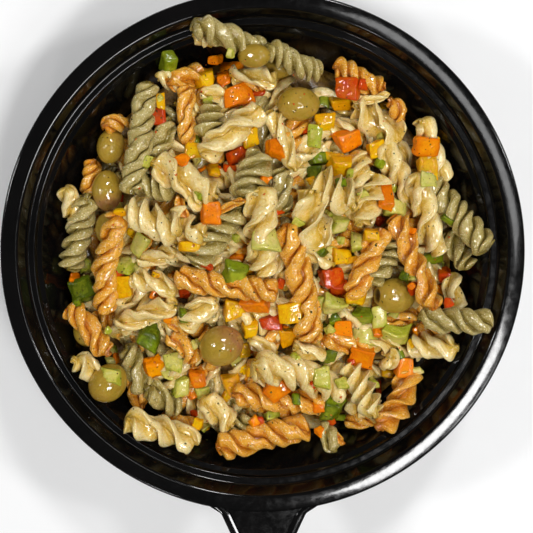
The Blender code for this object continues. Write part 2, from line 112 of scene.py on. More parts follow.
# The kinds of pieces that make up the pile, and what a row of the lists of pieces and of cuttings holds
P, T, S, O = "plain", "tomato", "spinach", "olive"
Piece = namedtuple("Piece", "kind x0 y0 x1 y1 width pitch bow plump rise", defaults=(26, 0, None, None))
Bit = namedtuple("Bit", "kind x y long wide turn tone rise", defaults=(0, 0.5, 0))

# Pasta spirals and olives, from the bottom of the heap to its top: both ends, width, the length of one
# turn of the spiral, how far the middle bows to the left, how much of the way round the fins fill, and
# how much the second end rises.
PILE = [Piece(*row) for row in (
    (P, -85, 31, -81, 12, 10), (T, -73, 43, -76, 26, 9, 20), (T, -69, 57, -58, 60, 9, 24),
    (P, -46, 79, -35, 74, 8, 24), (P, -84, -44, -73, -51, 12, 30), (T, -59, -50, -54, -68, 9, 24),
    (P, -38, 67, -27, 63, 8, 22), (P, -30, 96, -22, 91, 7, 24), (P, 3, 64, 14, 38, 9, 40),
    (P, -54, -2, -38, 4, 9, 24), (T, -42, -27, -31, -31, 8, 22), (P, -36, -30, -21, -17, 12, 30),
    (P, -7, -36, 6, -42, 8, 36), (P, 18, 3, 31, -3, 8, 30), (S, 8, 39, 8, 19, 10, 24),
    (T, 66, -31, 83, -33, 8, 24), (T, 48, -31, 67, -25, 8, 36), (P, 82, -7, 86, -25, 10, 30),
    (P, 37, -62, 47, -72, 10), (T, 36, -73, 50, -72, 8, 24), (T, -47, -71, -27, -75, 8, 24),
    (S, 80, 13, 90, -5, 11, 18), (P, 43, 46, 40, 30, 10, 24), (P, -27, 70, -14, 72, 9, 40),
    (T, -9, 77, 1, 73, 7, 30), (S, -2, -71, -20, -78, 10, 18), (P, 68, 60, 78, 33, 11, 34),
    (O, 4, 82, 8, 82, 10), (O, -67.8, 15, -67.8, 11, 10.5), (O, -79, -33, -79, -35, 13),
    (S, 60, 8, 46, -12, 11, 16), (P, -6, -51, 6, -54, 9, 30), (S, 26, -73, 32, -87, 9, 34),
    (S, -76.5, 28, -84.5, -5, 12.5, 17), (T, -85, -21, -68, -43, 11, 24, 1),
    (S, -60, -38, -53, -59, 11, 32), (S, -52, -57, -37, -68, 12), (P, -64, -30, -38, -19, 11, 44, 0, 0.45),
    (P, -58, -8, -38, -13, 11, 26, 0, 0.3), (T, -41, 75, -25, 81, 10, 24, 0, 0.38),
    (T, -33, 75, -33, 49, 8.5), (S, -25, 52, -20, 66, 13, 16, 0, 0.34), (P, -14, 79, 5, 77, 10, 44),
    (S, -29, 101, 0, 89, 12, 24, -1, 0.62), (S, 1, 91, 24, 80, 11, 15, -1), (T, 30, 83, 52, 72, 11, 20),
    (T, 54, 69, 60, 60, 9, 22), (P, -27, -62, -14, -75, 13, 42, 0, 0.45), (T, -43, -35, -31, -48, 9, 30, 4),
    (T, 25, -35, 46, -40, 10, 30), (P, 50, -63, 50, -75, 7, 34), (P, 45, -39, 68, -44, 9, 36, 3, 0.38),
    (T, -14, -60, 28, -65, 12), (T, 65, -50, 50, -76, 13, 24, 4, 0.41), (S, -10, 23, -31, -2, 14, 18),
    (S, -40.5, 61, -46.5, 42, 11, 30), (S, -57, 34, -38, 29, 13, 14, 0, 0.38),
    (O, -65.3, 50, -66, 47, 12.5), (O, -67.5, 32, -67.5, 27, 13.5), (O, -6, 87, -2, 87, 10.5),
    (O, -69.5, -56, -67.5, -54, 16), (O, 56, -16.5, 59, -16.5, 16), (S, 73, 32, 98, 4, 13, 17, 0, 0.76),
    (S, 68, -26, 101, -29, 12, 22, 0, 0.68), (P, -61, -72, -29, -83, 14, 32, 0, 0.39),
    (T, -21, -84, 20, -74.5, 14, 28), (S, -49, 76, -57, 28, 11.5, 22, 0, 0.85),
    (P, -48, 42, -20, 26, 15, 44, 0, 0.5), (P, -38, 21, -24, 9, 14, 44, -3, 0.45),
    (P, -59, 22, -36, 11, 15, 22, 0, 0.41), (P, -1, 65, -26.5, 44, 13, 46, 0, 0.48),
    (S, 0, 45, -9, 26, 15, 18), (T, -62.5, 19, -68.5, -24, 11.5, 26, -3),
    (P, 39, 67, 59, 51, 16, 44, 0, 0.26), (O, 13, 66.5, 17, 66.5, 15), (P, 50, 51, 66, 24, 12, 28),
    (P, 50, 36, 41, 14, 15, 26, 0, 0.27), (T, 51.5, 13, 38.5, -18, 11.5, 34),
    (T, 57, 19, 75, -23, 11.5, 30, 0, 0.43), (P, 64, -38, 86, -40, 13),
    (P, 54, -47, 56, -43, 10, 26, 0, None, 9), (P, 38, -46, 50, -71, 13, 18, 0, 0.29),
    (O, -19.5, -39, -17.5, -38, 18), (P, 23, 35, 40, 22, 17, 18, 0, 0.35), (P, 13, -40, 27, -42, 12, 44),
    (P, -1, 31, -1, -7, 15, 34, 0, 0.41), (T, -39, -8, 6, -15, 12, 28, 0, 0.76),
    (P, 20, 30, 26, 4, 17, 40, -2, 0.22), (T, 9, 15, 20, -37, 13, 34, 2, 0.76),
    (P, -5, -47, 35, -60, 15, 30, 2, 0.6), (P, 66, 37, 75, 2, 13, 34, 0, 0.38),
    (T, -37.5, 27, -33, 17, 5.5, 50), (T, -20, 21, -7, 26, 4, 60), (P, -34, 26, -26, 24, 9),
    (T, 29, -78, 36, -83, 5, 40), (P, 38, 68.5, 54, 71, 4.5, 60, -1),
)]

# The side on which an olive is brown, as a way and a strength, by the olive's number
BRUISES = {3: (0.2, 0.2), 5: (0.1, -1.0), 7: (-0.2, -0.2), 10: (0.75, 0.6)}

# Cut vegetables that show: middle, two sides, a turn in degrees, a tone from light to dark, and how much
# higher than by the rule a piece lies
BITS = {
    "yellow": [
        (-24.5, 77, 8, 8, 10), (-30, 46.5, 8, 7), (-6, 52.5, 8, 8, 15), (-21.5, 38, 5, 11),
        (33, 67, 10, 7), (27, 57, 9, 11, 10), (33, 40, 9, 9), (30, 44, 9, 5, -10), (77, 52, 4, 7),
        (48, 48, 7, 6, 20), (70, 39, 8, 9, 0, 0.9), (47, 10, 8, 6), (33, 1, 10, 8), (38, -1, 6, 5, 20),
        (-32, 5.5, 9, 6, 10), (-61, -12, 11, 10), (-62, 20, 6, 4), (-44, 68, 4, 8, 5),
        (-13, -22, 9, 8, 0, 0.9), (-6, -31, 7, 8), (-8, -40, 5, 8), (11, -24, 10, 9),
        (11, -34, 7, 8, 10, 0.8), (40, -18, 9, 5, 5), (-13.5, -55, 8, 9, 15, 0.8), (55, -51, 6, 5),
    ],
    "orange": [
        (-11, 70, 11, 9, 8), (-14, 83, 11, 7, -20), (-17, 78, 6, 9, 20), (-21, 87, 5, 10, 0, 0.9),
        (5, 48.5, 8, 11, 0, 0.7), (36.5, 51, 12, 9, 20, 0.9), (69, 49, 10, 8, 0, 0.4),
        (53, 28, 6, 13, 0, 0.9), (-48, -48, 10, 10, 20, 0.3), (-29, -53, 7, 7, 10, 0.6),
        (-31, -60, 6, 6, 30, 0.7), (6, -58, 11, 11, 40, 0.3), (35, -31, 8, 7), (44, -43, 9, 8, -10, 0.8),
        (62, -48, 8, 10), (-3, -20, 13, 8, 0, 0.7), (-12, 1, 8, 5), (-23, 19, 8, 10, 0, 0.8),
        (50, -33, 5, 6), (24, -66, 5, 5), (-86, -10, 5, 10, 0, 0.9),
    ],
    "red": [
        (-45, 61.5, 6, 8), (-2, 71.5, 6, 4), (-12, 45, 10, 6, 30, 0.3), (-14.5, 39, 6, 4, -10, 0.3),
        (42, 75, 5, 5), (37, 73, 10, 9, 0, 0.2), (30, -8, 10, 9, 10, 0.3), (33, -13, 9, 8),
        (3, -28, 10, 7), (79, -7, 6, 9), (-25, -3, 6, 3, -20, 0.9), (18, 56, 5, 5, 0, 0.9),
        (-34, -15, 6, 5), (51, -58, 3, 9), (-2, -72, 4, 4), (81, -20, 4, 4),
    ],
    "green": [
        (23, 43.5, 9, 6), (21.5, 36, 6, 10), (26, 69, 5, 9), (-12, -7, 11, 9, 0, 0.1),
        (-78, -13, 12, 11, 30, 0.6), (-49, -32, 10, 14, -25, 0.9), (80, 17, 7, 3, -20), (74, 0, 10, 6, 10),
        (44, -25, 8, 7, 0, 0.2, 1), (28, -44, 7, 9), (30, -67, 8, 13, -25), (-41, 85, 7, 11.5, 10, 0.2),
        (33, 33, 4, 4), (31, -27, 5, 5, 20),
    ],
    "celery": [
        (-54, 6, 8, 10, -15), (-60.5, -3, 8, 9), (-77, -3, 6, 8), (22, 53, 7, 10), (0, 7.5, 10.5, 8, 10),
        (33, 15, 8, 9), (33, 8, 4, 4), (41, 7, 9, 7), (57, 22, 10, 8), (71, 34, 6, 5),
        (31, -21, 13, 9, -10, 0.2, 2.5), (51, -26, 5, 9), (57, -25, 6, 4), (44, -33, 9, 10),
        (58, -34, 12, 10, 0, 0.7), (-40, -46, 8, 8), (-36, -57, 8, 9), (-27, -60, 7, 7), (3, -70, 7, 6),
        (26, -53, 7, 9), (48, -54, 4, 9), (-14, 88, 4, 4), (-24, 68, 4, 4), (65, -9, 4, 3), (77, -3, 4, 4),
        (-42, -51, 6, 4), (-67, -52, 9, 7), (-11, -45, 6, 5),
    ],
}

# Spirals of pasta. A wave is a size and a wavelength.
FINS = 3
FARTHEST_ASIDE = 0.94 * pi / FINS
FIN_STEPS = 7
COARSE_STEPS = 4
PLUMP = {P: 0.48, T: 0.66, S: 0.6}
OPEN_PITCH = 40
OPEN_PLUMP = 0.36
ROOT_SHARE = 0.22
VALLEY_SHARE = 0.34
SWEEP = 1.1
SWEEP_POWER = 1.4
RING_GAP = 1.15
COARSE_RING_GAP = 2.4
END_ZONE = 3.5
END_CUT = (-0.6, 2.2)
END_GAP = 0.55
END_FADE = 2.6
WANDER_ASIDE = (0.5, 30)
WANDER_UP = (0.3, 25)
WIDTH_WAVE = (0.04, 14)
BEND_WAVE = (0.15, 17)
FILL_WAVE = (0.15, 12)
SECOND_WAVE = 0.43

# The bed of pasta under the pieces that show
BED_PIECES = 120
BED_RADIUS = 80.0
BED_KINDS = (P, T, P, S, P)
BED_SEED = 1000

# The body of the salad under its pasta
CORE_SECTORS = 90
CORE_RINGS = 32
CORE_FOOT = 30.0
CORE_DEPTH = 11

# Olives
OLIVE_ROWS = 36
OLIVE_SIDES = 48
PIT_OLIVE = 8
PIT_RADIUS = 3.4
PIT_RIM = 1.2
PIT_DEPTH = 2.6

# Cut vegetables
BIT_SEED = 3000
BLOCK_STEPS = 7
BLOCK_EDGE = (0.5, 1.0)
BLOCK_TAPER = 0.22
THINNEST = 2.6
THICKEST = 6.0
BIT_HALF = 0.46
SETTLE = (1.2, 3.0)
SKIN_BELOW = 0.35
ON_EDGE = 0.4
FOLLOW = 0.55
TILT = 0.45

# What a cut piece is like: its thickness as a share of its width, how much it bends, how far its corners
# go astray, and how high its ridges are
Form = namedtuple("Form", "thick curve skew ridge")
PEPPER = Form(0.7, (-0.01, 0.03), 0.3, 0)
CELERY = Form(0.55, (0.04, 0.06), 0.45, 0.16)

# Crumbs of cut vegetable
CRUMBS = 90
CRUMB_DEPTH = 2.0
CRUMB_REACH = 84
CRUMB_KINDS = ("celery", "orange", "yellow", "celery", "red", "green")

# Flakes of each kind: how many, the smallest and the largest, two colours and a roughness
FLAKES = {
    "pepper": (760, 0.22, 0.55, (0.02, 0.009, 0.003), (0.1, 0.045, 0.012), 0.6),
    "herb": (330, 0.3, 0.9, (0.06, 0.07, 0.015), (0.13, 0.1, 0.03), 0.6),
    "fleck": (70, 0.5, 1.1, (0.6, 0.07, 0.01), (0.6, 0.2, 0.03), 0.4),
}
FLAKE_REACH = 92

# Colours of pasta: grooves (painted shade), flanks, faces, edges (partly painted highlight), and a stain
PASTA = {
    P: ((0.55, 0.33, 0.014), (0.73, 0.5, 0.1), (0.82, 0.61, 0.205), (0.88, 0.73, 0.4), (0.92, 0.82, 0.54)),
    T: ((0.42, 0.11, 0.001), (0.63, 0.22, 0.004), (0.73, 0.3, 0.011), (0.83, 0.42, 0.05), (0.9, 0.78, 0.5)),
    S: ((0.19, 0.135, 0.01), (0.3, 0.225, 0.044), (0.355, 0.272, 0.076), (0.5, 0.41, 0.17), (0.84, 0.8, 0.6)),
}

# Colours of cut vegetables: pale flesh, deep flesh and skin
CUT = {
    "yellow": ((0.8, 0.5, 0.001), (0.7, 0.3, 0.0), (0.78, 0.44, 0.0)),
    "orange": ((0.9, 0.34, 0.0), (0.72, 0.17, 0.0), (0.88, 0.24, 0.0)),
    "red": ((0.62, 0.12, 0.0), (0.46, 0.04, 0.0), (0.56, 0.05, 0.0)),
    "green": ((0.34, 0.38, 0.02), (0.07, 0.1, 0.001), (0.18, 0.24, 0.002)),
    "celery": ((0.8, 0.66, 0.27), (0.37, 0.39, 0.025), (0.6, 0.54, 0.11)),
}

# What wet food has in common: a clear film over matter that light gets into
WET = {
    "Coat IOR": 1.7,
    "Coat Tint": (1.0, 0.97, 0.84),
    "Specular IOR Level": 0.05,
    "Subsurface Weight": 0.35,
    "Subsurface Radius": (1.0, 0.6, 0.3),
}

# The lights: place, size, power and turn in degrees
LIGHTS = {
    "window": ((330, -470, 1500), (415, 195), 9.1, 20),
    "ceiling": ((352, 92, 1500), (540, 150), 1.8, 22),
    "key": ((620, -560, 1400), (230, 230), 2.6),
    "side_left": ((-900, 150, 1000), (145, 145), 3.8),
    "side_back": ((250, 850, 1050), (145, 145), 4.7),
    "side_right": ((900, 250, 1050), (140, 140), 3.7),
    "side_front": ((-300, -850, 1050), (90, 90), 1.0),
}
WORLD_COLOUR = (0.95, 0.97, 1.0, 1)
WORLD_STRENGTH = 0.06
FLOOR_HALF = 3000


def linked(name, data):
    """A new object in the scene."""
    made = bpy.data.objects.new(name, data)
    bpy.context.scene.collection.objects.link(made)
    return made


def mesh_object(name, points, faces, paint, values=None):
    """A smooth object from points in millimetres, with named values at its points."""
    mesh = bpy.data.meshes.new(name)
    mesh.from_pydata((np.asarray(points) * METRES).tolist(), [], faces)
    mesh.materials.append(paint)
    mesh.shade_smooth()
    for label, numbers in (values or {}).items():
        layer = mesh.attributes.new(label, "FLOAT", "POINT")
        layer.data.foreach_set("value", np.asarray(numbers, np.float32))
    return linked(name, mesh)


class Shapes:
    """Shapes gathered to become one mesh."""

    def __init__(self):
        self.points = []
        self.faces = []
        self.values = []
        self.count = 0

    def add(self, points, faces, values):
        """Adds a closed shape, and the values that its points carry."""
        self.points.append(points)
        self.faces += [[corner + self.count for corner in face] for face in faces]
        self.values.append(values)
        self.count += len(points)

    def all_points(self):
        return np.concatenate(self.points)

    def object(self, name, paint):
        """One object of all the shapes."""
        labels = self.values[0].keys()
        values = {label: np.concatenate([row[label] for row in self.values]) for label in labels}
        return mesh_object(name, self.all_points(), self.faces, paint, values)


def rounded(corners, steps):
    """A line through corners (x, y, radius), with each corner rounded by an arc of its own radius."""
    points = []
    for k, (x, y, radius) in enumerate(corners):
        if radius == 0:
            points.append((x, y))
            continue
        corner = np.array([x, y])
        before, after = (np.array(corners[n % len(corners)][:2]) - corner for n in (k - 1, k + 1))
        before = before / np.hypot(*before)
        after = after / np.hypot(*after)
        half = np.arccos(np.clip(before @ after, -1, 1)) / 2
        middle = corner + (before + after) / np.hypot(*(before + after)) * radius / sin(half)
        start, end = (corner + way * radius / tan(half) - middle for way in (before, after))
        first = atan2(start[1], start[0])
        sweep = (atan2(end[1], end[0]) - first + pi) % (2 * pi) - pi
        for angle in first + sweep * np.arange(steps + 1) / steps:
            points.append((middle[0] + radius * cos(angle), middle[1] + radius * sin(angle)))
    return points


def wall_at(height):
    """The radius of the wall's inner side at a height."""
    return LIP_RADIUS - tan(WALL_LEAN) * (LIP_HEIGHT - height)


def inner_profile():
    """The bowl's inner and upper surface, from the middle of the base to the foot of the rim's skirt."""
    corners = [
        (0, SHEET, 0),
        (wall_at(SHEET), SHEET, BASE_CORNER),
        (LIP_RADIUS, LIP_HEIGHT, 1.0),
        (LIP_RADIUS + 2.1, LIP_HEIGHT + 1.5, 0.5),
        (LIP_RADIUS + 2.6, GROOVE_FLOOR, 0.8),
        (LIP_RADIUS + 5.8, GROOVE_FLOOR, 1.1),
        (FLANGE_INNER, RIM_TOP, 1.7),
        (RIM_RADIUS, RIM_TOP, 1.3),
        (RIM_RADIUS, RIM_TOP - SKIRT_DROP, 0),
    ]
    return rounded(corners, 7)


def outer_profile():
    """The bowl's under surface, from the foot of the skirt back to the middle of the base."""
    under = RIM_TOP - SHEET
    corners = [
        (RIM_RADIUS - SHEET, RIM_TOP - SKIRT_DROP, 0),
        (RIM_RADIUS - SHEET, under, 0.3),
        (FLANGE_INNER + 0.9, under, 0.6),
        (LIP_RADIUS + 6.7, GROOVE_FLOOR - SHEET, 1.4),
        (LIP_RADIUS + 3.5, GROOVE_FLOOR - SHEET, 0.4),
        (LIP_RADIUS + 3.0, LIP_HEIGHT + 0.3, 0.8),
        (LIP_RADIUS + 1.2, LIP_HEIGHT - 0.6, 0.8),
        (wall_at(0) + SHEET / cos(WALL_LEAN), 0, BASE_CORNER + SHEET),
        (0, 0, 0),
    ]
    return rounded(corners, 5)


def joined(rings, count, start=0):
    """The faces between rings of this many points each, the first of them numbered start."""
    faces = []
    for low in range(start, start + (rings - 1) * count, count):
        for k in range(count):
            after = (k + 1) % count
            faces.append((low + k, low + count + k, low + count + after, low + after))
    return faces


def fan(tip, low, count, end=False):
    """The faces from a point to a ring, turned over at the end of a row of rings."""
    pairs = [(low + k, low + (k + 1) % count) for k in range(count)]
    return [(tip, b, a) if end else (tip, a, b) for a, b in pairs]


def capped(first, rings, last):
    """Points and faces of a solid of rings, closed by a point at each end."""
    count = len(rings[0])
    points = np.concatenate([[first], *rings, [last]])
    tip = len(points) - 1
    return points, fan(0, 1, count) + joined(len(rings), count, 1) + fan(tip, tip - count, count, True)


def circle(count):
    """Points round a circle, each as (x, y, 1)."""
    turns = np.arange(count) * 2 * pi / count
    return np.column_stack([np.cos(turns), np.sin(turns), np.ones(count)])


def turned(profile, sides):
    """Points and faces of a solid turned about Z from a profile that starts and ends on the axis."""
    rings = [circle(sides) * (radius, radius, height) for radius, height in profile[1:-1]]
    return capped((0, 0, profile[0][1]), rings, (0, 0, profile[-1][1]))


def tab_outline(inset):
    """The pull tab's outline, drawn in from its edge by this much."""
    root = RIM_RADIUS - 3.0
    end = RIM_RADIUS + TAB_REACH - inset
    lean = inset * hypot(1, TAB_TAPER)
    end_half = TAB_HALF_WIDTH - TAB_TAPER * (TAB_REACH - inset) - lean
    half = TAB_HALF_WIDTH - lean
    corner = TAB_CORNER - inset * 0.6
    right = [(half + 5.5, -root, 0), (half, -RIM_RADIUS - 0.6, 4.0), (end_half, -end, corner)]
    left = [(-x, y, radius) for x, y, radius in reversed(right)]
    return np.array(rounded(right + left, 6))


def tab():
    """Points and faces of the pull tab, a plate with a shallow panel inside its border."""
    low = TAB_TOP - TAB_THICKNESS
    levels = [
        (1.0, low), (0.3, low + 0.1), (0, low + 0.5), (0, TAB_TOP - 0.5), (0.15, TAB_TOP - 0.15),
        (0.5, TAB_TOP), (TAB_BORDER, TAB_TOP), (TAB_BORDER + 0.4, TAB_TOP - 0.15),
        (TAB_BORDER + 0.8, TAB_TOP - TAB_RECESS), (TAB_BORDER + 1.2, TAB_TOP - TAB_RECESS),
    ]
    rings = [np.insert(tab_outline(inset), 2, height, axis=1) for inset, height in levels]
    count = len(rings[0])
    top = (len(rings) - 1) * count
    ends = [tuple(range(top + count - 1, top - 1, -1)), tuple(range(count))]
    return np.concatenate(rings), joined(len(rings), count) + ends


class HeapMap:
    """The height of the heap over each square millimetre of the bowl."""

    def __init__(self):
        self.x, self.y = np.mgrid[-MAP_REACH : MAP_REACH + 1.0, -MAP_REACH : MAP_REACH + 1.0]
        radius = np.hypot(self.x, self.y)
        dish = np.interp(radius + DISH_MARGIN, *np.array(inner_profile()[:-1]).T)
        self.firm = np.where(radius > RIM_RADIUS, BELOW, dish)
        self.top = np.where(radius < FILL_RADIUS, fill_level(self.x, self.y), BELOW)

    def ball(self, place, reach):
        """The cells under a ball, and how far its surface is above its middle there."""
        span = int(reach) + 2
        nearest = [int(round(number)) + MAP_REACH for number in place]
        cells = tuple(slice(max(number - span, 0), number + span + 1) for number in nearest)
        apart = (self.x[cells] - place[0]) ** 2 + (self.y[cells] - place[1]) ** 2
        return cells, np.where(apart < reach**2, np.sqrt(np.maximum(reach**2 - apart, 0)), BELOW)

    def needed(self, place, piece):
        """The lowest height for a piece's middle here: clear of dish and olives, and nested in the pasta."""
        cells, rise = self.ball(place, piece.width / 2 + GAP)
        clear = np.max(self.firm[cells] + rise) + GAP
        cells, rise = self.ball(place, piece.width * CONTACT_SHARE)
        return max(clear, np.max(self.top[cells] + rise) - NESTING)

    def cover(self, place, height, piece):
        """Adds a ball of the piece to the heap."""
        if piece.kind == O:
            cells, rise = self.ball(place, piece.width / 2)
            self.firm[cells] = np.maximum(self.firm[cells], height + rise)
        cells, rise = self.ball(place, piece.width * CONTACT_SHARE)
        self.top[cells] = np.maximum(self.top[cells], height + rise)


def fill_level(x, y):
    """The level of the bed of pasta at a place."""
    return FILL_MIDDLE - FILL_DROP * (np.hypot(x, y) / FILL_RADIUS) ** 2


def under_eye(x, y, height):
    """The place at this height that is seen where (x, y) is on the level of the rim."""
    share = (EYE[2] - height) / (EYE[2] - RIM_TOP)
    return np.array([EYE[0] + (x - EYE[0]) * share, EYE[1] + (y - EYE[1]) * share])


def bowed(first, last, bow, count):
    """Points from first to last, with the middle pushed to the left of the way by bow."""
    along = np.linspace(0, 1, count)[:, None]
    way = last - first
    left = np.array([-way[1], way[0]]) / max(np.hypot(*way), 1e-6)
    return first + way * along + left * bow * 4 * along * (1 - along)


def resting_line(needed, rise, length):
    """The heights of both ends of the lowest straight line over these heights."""
    along = np.linspace(0, 1, len(needed))
    if rise is not None:
        foot = np.max(needed - rise * along)
        return np.array([foot, foot + rise])
    steepest = STEEPEST * length
    lines = []
    for i, j in combinations(range(len(needed)), 2):
        slope = (needed[j] - needed[i]) / (along[j] - along[i])
        slope = max(-steepest, min(steepest, slope))
        foot = np.max(needed - slope * along)
        lines.append((foot + slope / 2, foot, slope))
    _, foot, slope = min(lines)
    return np.array([foot, foot + slope])


def drop(heap, piece):
    """Lets a piece down onto the heap. Gives the points of its middle line."""
    ends = (FILL_MIDDLE, FILL_MIDDLE)
    for _ in range(3):
        first = under_eye(piece.x0, piece.y0, ends[0])
        last = under_eye(piece.x1, piece.y1, ends[1])
        length = np.hypot(*(last - first))
        route = bowed(first, last, piece.bow, FEWEST_STOPS)
        ends = resting_line(np.array([heap.needed(place, piece) for place in route]), piece.rise, length)
    count = max(FEWEST_STOPS, int(length / STOP_GAP))
    route = bowed(first, last, piece.bow, count)
    heights = np.linspace(*ends, count)
    for place, height in zip(route, heights):
        heap.cover(place, height, piece)
    return np.column_stack([route, heights])


def stations(length, gap):
    """Places along a spiral, closer together near its ends."""
    inside = np.linspace(END_ZONE, length - END_ZONE, max(2, int((length - 2 * END_ZONE) / gap) + 1))
    near = np.linspace(0, END_ZONE, max(3, int(END_ZONE / min(END_GAP, gap / 2))) + 1)[:-1]
    return np.concatenate([near, inside, length - near[::-1]])


def waves(along, draw, size, wavelength):
    """A slow wander of about this size along a line, made of two waves."""
    first = np.sin(2 * pi * (along / wavelength + draw.random()))
    second = np.sin(2 * pi * (along / wavelength / SECOND_WAVE + draw.random()))
    return size * (0.7 * first + 0.3 * second)


def fin_outline(plump, steps):
    """A fin seen from its end, from one side over its tip to the other: how far out, and how far aside."""
    cap = 0.17 + 0.22 * plump
    turns = np.linspace(-pi / 2, pi / 2, steps)
    root = [0.22 * (1 - cap), 0.62 * (1 - cap)]
    out = [0, *root, *(1 - cap + cap * np.cos(turns)), *root[::-1]]
    aside = [0, -0.8, -0.95, *np.sin(turns), 0.95, 0.8]
    return np.array(out), np.array(aside)


def spiral(line, width, pitch, plump, draw, steps=FIN_STEPS, gap=RING_GAP):
    """Points, faces and values of one spiral: three leaning fins that wind round its middle line."""
    travelled = np.concatenate([[0], np.cumsum(np.linalg.norm(np.diff(line, axis=0), axis=1))])
    length = max(travelled[-1], 2 * END_ZONE + 1)
    at = stations(length, gap)
    places = at * travelled[-1] / length
    middle = np.column_stack([np.interp(places, travelled, line[:, k]) for k in range(3)])
    ahead = np.gradient(middle, at, axis=0)
    ahead /= np.linalg.norm(ahead, axis=1)[:, None]
    across = np.cross(ahead, (0, 0, 1))
    across /= np.linalg.norm(across, axis=1)[:, None]
    upward = np.cross(across, ahead)
    ease = np.sin(pi * at / length)[:, None]
    for way, wave in ((across, WANDER_ASIDE), (upward, WANDER_UP)):
        middle = middle + way * waves(at, draw, *wave)[:, None] * ease
    radius = width / 2 * (1 + waves(at, draw, *WIDTH_WAVE))
    turn = 2 * pi * at / pitch + waves(at, draw, 0.25 + 0.35 * plump, 18) + draw.uniform(0, 2 * pi)
    lean = draw.choice((-1, 1)) * (SWEEP - 0.6 * plump) * draw.uniform(0.85, 1.2)
    share, side = fin_outline(plump, steps)
    rho = np.empty((len(at), FINS, len(side)))
    angle, fin_value, round_value = np.empty((3, *rho.shape))
    for fin in range(FINS):
        reach = 1 + waves(at, draw, 0.03 + 0.08 * plump, 12)
        cuts = draw.uniform(*END_CUT, 2)
        for from_end, cut in zip((at, length - at), cuts):
            near = np.clip((from_end - cut) / END_FADE, 0, 1)
            reach = reach * np.sqrt(1 - (1 - near) ** 2)
        reach = np.maximum(reach, 0.04)[:, None]
        bend = lean * (1 + waves(at, draw, *BEND_WAVE))[:, None]
        filled = plump * (1 + waves(at, draw, *FILL_WAVE))[:, None]
        filled = filled * (0.35 + 0.65 * np.minimum(reach * 1.6, 1))
        rho[:, fin] = ROOT_SHARE + (1 - ROOT_SHARE) * share * reach
        aside = side * filled * pi / FINS * (0.75 / rho[:, fin]) ** (2 - 2 * plump)
        aside = np.clip(aside, -FARTHEST_ASIDE, FARTHEST_ASIDE)
        angle[:, fin] = 2 * pi * fin / FINS + bend * (share * reach) ** SWEEP_POWER + aside
        fin_value[:, fin] = share * reach
        round_value[:, fin] = (fin + np.arange(len(side)) / len(side)) / FINS
        rho[:, fin, 0] = VALLEY_SHARE
        angle[:, fin, 0] = 2 * pi * fin / FINS - pi / FINS
    spread = (radius[:, None, None] * rho)[..., None]
    facing = (angle - turn[:, None, None])[..., None]
    spoke = np.cos(facing) * across[:, None, None] + np.sin(facing) * upward[:, None, None]
    points = (middle[:, None, None] + spread * spoke).reshape(-1, 3)
    count = FINS * len(side)
    last = len(points)
    faces = joined(len(at), count) + fan(last, 0, count) + fan(last + 1, last - count, count, True)
    tips = [middle[0] - ahead[0] * 0.4, middle[-1] + ahead[-1] * 0.4]
    values = {
        "fin": np.concatenate([fin_value.reshape(-1), [0.3, 0.3]]),
        "round": np.concatenate([round_value.reshape(-1), [0, 0]]),
        "along": np.concatenate([np.repeat(at / 10, count), [0, length / 10]]),
        "tone": np.full(last + 2, draw.random()),
    }
    return np.concatenate([points, tips]), faces, values


def inside_dish(x, y, height, reach):
    """A place moved in, so that a piece of this reach clears the wall."""
    room = wall_at(height) - reach - 1.5
    share = min(1, room / max(hypot(x, y), 1e-6))
    return x * share, y * share


def bed_lines():
    """Kind, middle line, width and pitch of each spiral that lies under the pieces that show."""
    draw = np.random.default_rng(SEED)
    golden = pi * (3 - 5**0.5)
    rows = []
    for k in range(BED_PIECES):
        radius = BED_RADIUS * ((k + 0.5) / BED_PIECES) ** 0.5
        x, y = radius * cos(golden * k), radius * sin(golden * k)
        width = draw.uniform(9.5, 13)
        half = draw.uniform(12, 19)
        way = draw.uniform(0, pi)
        sink = draw.uniform(0, 5)
        line = []
        for side in np.linspace(-1, 1, 9):
            px, py = x + cos(way) * half * side, y + sin(way) * half * side
            height = fill_level(px, py) - width * 0.45 - sink
            line.append((*inside_dish(px, py, max(height - width / 2, 12), width / 2), max(height, 14)))
        rows.append((BED_KINDS[k % len(BED_KINDS)], np.array(line), width, draw.uniform(20, 34)))
    return rows


def pasta(lines):
    """The spirals of each kind: those of the pile, and the bed under them."""
    kinds = {kind: Shapes() for kind in PASTA}
    for index, (piece, line) in enumerate(zip(PILE, lines)):
        if piece.kind != O:
            draw = np.random.default_rng(SEED + index)
            plump = piece.plump or (OPEN_PLUMP if piece.pitch >= OPEN_PITCH else PLUMP[piece.kind])
            kinds[piece.kind].add(*spiral(line, piece.width, piece.pitch, plump, draw))
    for index, (kind, line, width, pitch) in enumerate(bed_lines()):
        draw = np.random.default_rng(BED_SEED + index)
        kinds[kind].add(*spiral(line, width, pitch, PLUMP[kind], draw, COARSE_STEPS, COARSE_RING_GAP))
    return kinds


def surface(groups):
    """A search tree over gathered shapes, in millimetres."""
    whole = Shapes()
    for group in groups:
        whole.add(group.all_points(), group.faces, {})
    return BVHTree.FromPolygons(whole.all_points().tolist(), whole.faces)


def height_at(tree, x, y):
    """The height of the surface at a place, and the way that it faces."""
    found, normal, _, _ = tree.ray_cast((x, y, SKY), (0, 0, -1))
    if found is None:
        return BELOW, Vector((0, 0, 1))
    return found.z, normal if normal.z > 0 else -normal


